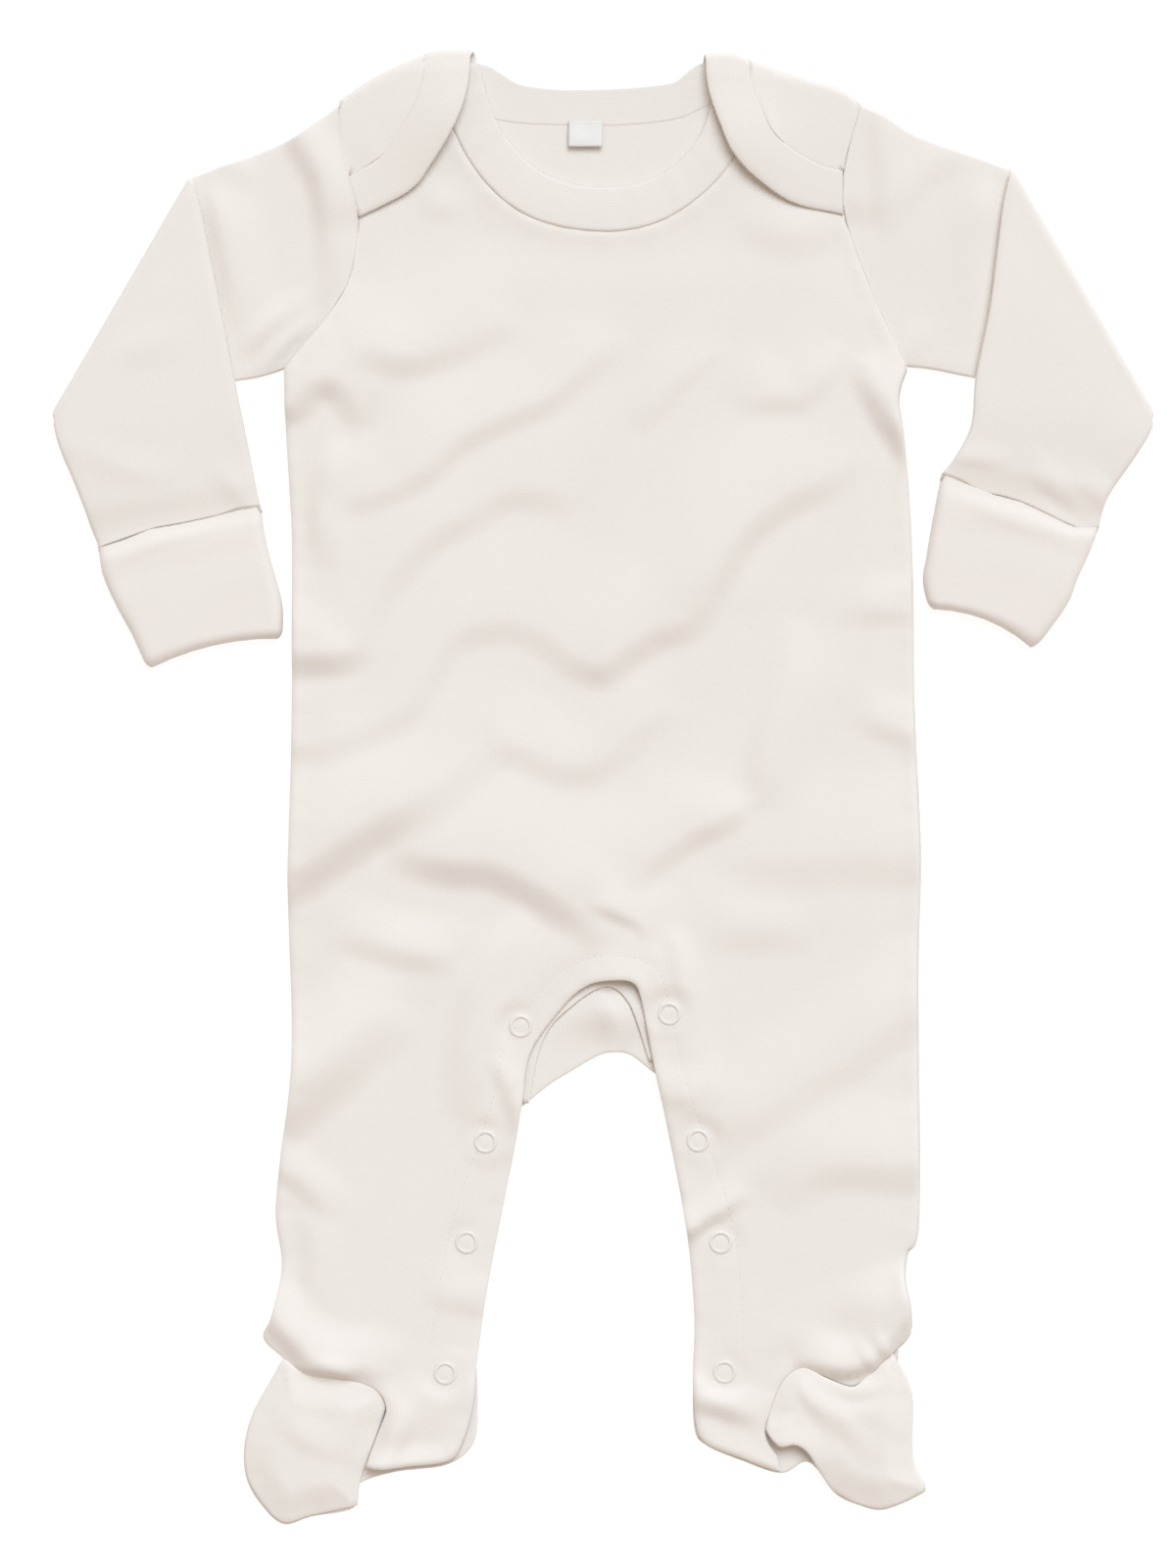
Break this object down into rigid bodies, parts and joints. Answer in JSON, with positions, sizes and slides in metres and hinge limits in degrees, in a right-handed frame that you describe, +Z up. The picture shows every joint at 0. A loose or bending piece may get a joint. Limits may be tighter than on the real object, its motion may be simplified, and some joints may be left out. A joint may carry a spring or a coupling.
{
  "type": "footed baby sleepsuit",
  "caption": "Baby's one-piece footed sleepsuit laid out flat, with lap shoulders, ribbed neck bindings, long sleeves folded at the elbow, closed scratch mitts and poppered inner legs.",
  "frame": {"origin": "centre of the garment's outline on the surface it lies on", "axes": "+X to the right of someone looking down at the front, +Y from the feet to the neck, +Z up from the surface through the back to the front"},
  "size_m": [0.4379, 0.5865, 0.0088],
  "materials": {
    "cotton_interlock": "soft matt cream interlock knit",
    "neck_rib": "soft matt cream fine rib",
    "mitt_cotton": "soft matt cream interlock knit, doubled",
    "popper_cap": "smooth cream ring cap",
    "label_satin": "smooth white woven tape, bare"
  },
  "bodies": {
    "root": {"back_body": "cotton_interlock", "front_body": "cotton_interlock", "crotch_facing": "cotton_interlock", "neck_binding_front": "neck_rib", "neck_binding_back": "neck_rib", "sleeve_left": "cotton_interlock", "sleeve_right": "cotton_interlock", "mitt_left": "mitt_cotton", "mitt_right": "mitt_cotton", "foot_upper_left": "cotton_interlock", "foot_upper_right": "cotton_interlock", "foot_sole_left": "cotton_interlock", "foot_sole_right": "cotton_interlock", "size_label": "label_satin", "popper_1": "popper_cap", "popper_2": "popper_cap", "popper_3": "popper_cap", "popper_4": "popper_cap", "popper_5": "popper_cap", "popper_6": "popper_cap", "popper_7": "popper_cap", "popper_8": "popper_cap"}
  },
  "joints": []
}
